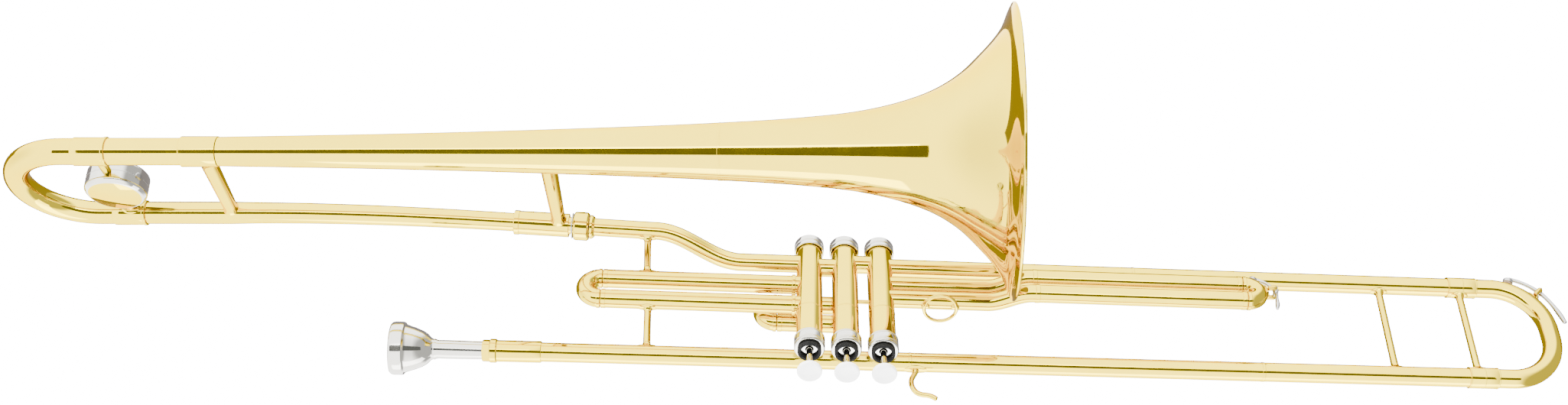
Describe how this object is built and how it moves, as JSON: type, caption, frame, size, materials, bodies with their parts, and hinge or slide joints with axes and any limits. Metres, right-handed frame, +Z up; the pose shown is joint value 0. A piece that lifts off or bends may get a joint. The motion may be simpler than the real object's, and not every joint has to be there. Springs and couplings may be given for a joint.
{
  "type": "valve trombone",
  "caption": "Brass valve trombone: flared bell on a detachable swivelling section, spring-returned piston valves, pull-out slides, water keys, cup mouthpiece and counterweight.",
  "frame": {"origin": "on the middle valve's axis, level with the return tube's centreline, between the casings where the left hand grips", "axes": "+X forward along the straight tubes (the way the bell points, and the longest extent), +Y to the player's left towards the bell, +Z up along the valves to the finger buttons"},
  "size_m": [1.119, 0.2669, 0.2032],
  "materials": {
    "lacquered_brass": "clear-lacquered polished yellow brass",
    "silver_plate": "polished silver or nickel plate",
    "key_steel": "grey nickel-silver",
    "piston_metal": "lapped nickel-plated",
    "pearl": "glossy pale finger plate",
    "felt": "black felt",
    "cork": "matte cork"
  },
  "bodies": {
    "valve_section": {"gooseneck": "lacquered_brass", "valve_casing_1": "lacquered_brass", "valve_casing_2": "lacquered_brass", "valve_casing_3": "lacquered_brass", "top_valve_cap_1": "silver_plate", "top_valve_cap_2": "silver_plate", "top_valve_cap_3": "silver_plate", "bottom_valve_cap_1": "silver_plate", "bottom_valve_cap_2": "silver_plate", "bottom_valve_cap_3": "silver_plate", "valve_felt_1": "felt", "valve_felt_2": "felt", "valve_felt_3": "felt", "valve_knuckle_1_2": "lacquered_brass", "valve_knuckle_2_3": "lacquered_brass", "first_slide_tube_lower": "lacquered_brass", "first_slide_tube_upper": "lacquered_brass", "second_slide_tube_lower": "lacquered_brass", "second_slide_tube_upper": "lacquered_brass", "third_slide_tube_lower": "lacquered_brass", "third_slide_tube_upper": "lacquered_brass", "finger_ring": "lacquered_brass", "mouthpiece_receiver": "lacquered_brass", "mouthpipe": "lacquered_brass", "return_tube": "lacquered_brass", "front_bow": "lacquered_brass", "front_brace_rear": "lacquered_brass", "front_brace_front": "lacquered_brass", "gooseneck_brace": "lacquered_brass", "mouthpipe_brace": "lacquered_brass", "pinky_hook": "lacquered_brass", "valve_spring_1": "piston_metal", "valve_spring_2": "piston_metal", "valve_spring_3": "piston_metal"},
    "valve_1": {"valve_piston_1": "piston_metal", "valve_stem_1": "silver_plate", "finger_button_1": "pearl"},
    "valve_2": {"valve_piston_2": "piston_metal", "valve_stem_2": "silver_plate", "finger_button_2": "pearl"},
    "valve_3": {"valve_piston_3": "piston_metal", "valve_stem_3": "silver_plate", "finger_button_3": "pearl"},
    "first_valve_slide": {"first_slide": "lacquered_brass"},
    "second_valve_slide": {"second_slide": "lacquered_brass"},
    "third_valve_slide": {"third_slide": "lacquered_brass"},
    "slide_water_key": {"slide_key_lever": "key_steel", "slide_key_cork": "cork"},
    "front_water_key": {"front_key_lever": "key_steel", "front_key_cork": "cork"},
    "mouthpiece": {"mouthpiece": "silver_plate"},
    "bell_section": {"bell": "lacquered_brass", "bell_tail_tube": "lacquered_brass", "neckpipe": "lacquered_brass", "bell_brace_rear": "lacquered_brass", "bell_brace_front": "lacquered_brass"},
    "tuning_slide": {"tuning_slide": "lacquered_brass", "counterweight": "silver_plate", "counterweight_post": "lacquered_brass"},
    "lock_nut": {"bell_lock_nut": "lacquered_brass"}
  },
  "joints": [
    {"name": "valve_1_press", "type": "slide", "parent": "valve_section", "child": "valve_1", "axis": [0, 0, -1], "range_m": [0, 0.016], "stiffness_N_per_m": 70, "springref_m": -0.012, "deforming": ["valve_spring_1"]},
    {"name": "valve_2_press", "type": "slide", "parent": "valve_section", "child": "valve_2", "axis": [0, 0, -1], "range_m": [0, 0.016], "stiffness_N_per_m": 70, "springref_m": -0.012, "deforming": ["valve_spring_2"]},
    {"name": "valve_3_press", "type": "slide", "parent": "valve_section", "child": "valve_3", "axis": [0, 0, -1], "range_m": [0, 0.016], "stiffness_N_per_m": 70, "springref_m": -0.012, "deforming": ["valve_spring_3"]},
    {"name": "first_slide_pull", "type": "slide", "parent": "valve_section", "child": "first_valve_slide", "axis": [-1, 0, 0], "range_m": [0, 0.06]},
    {"name": "second_slide_pull", "type": "slide", "parent": "valve_section", "child": "second_valve_slide", "axis": [-1, 0, 0], "range_m": [0, 0.024]},
    {"name": "third_slide_pull", "type": "slide", "parent": "valve_section", "child": "third_valve_slide", "axis": [1, 0, 0], "range_m": [0, 0.08]},
    {"name": "slide_water_key_turn", "type": "hinge", "parent": "third_valve_slide", "child": "slide_water_key", "pos_m": [0.30869, 0.00987, 0.0248], "axis": [0, -0.9932, 0.1165], "range_deg": [0, 14], "stiffness_Nm_per_rad": 0.12, "springref_deg": -17.19},
    {"name": "front_water_key_turn", "type": "hinge", "parent": "valve_section", "child": "front_water_key", "pos_m": [0.50836, -0.00037, 0.00159], "axis": [0, -0.9738, -0.2275], "range_deg": [0, 11], "stiffness_Nm_per_rad": 0.15, "springref_deg": -17.19},
    {"name": "mouthpiece_pull", "type": "slide", "parent": "valve_section", "child": "mouthpiece", "axis": [-1, 0, 0.0093], "range_m": [0, 0.04]},
    {"name": "bell_swivel", "type": "hinge", "parent": "valve_section", "child": "bell_section", "pos_m": [-0.1974, 0.02, -0.0117], "axis": [0.9996, -0.016, 0.0235], "range_deg": [-50, 5]},
    {"name": "tuning_slide_pull", "type": "slide", "parent": "bell_section", "child": "tuning_slide", "axis": [-0.9982, -0.0566, -0.0183], "range_m": [0, 0.05]},
    {"name": "lock_nut_turn", "type": "hinge", "parent": "bell_section", "child": "lock_nut", "pos_m": [-0.1974, 0.02, -0.0117], "axis": [0.9996, -0.016, 0.0235], "continuous": true}
  ]
}
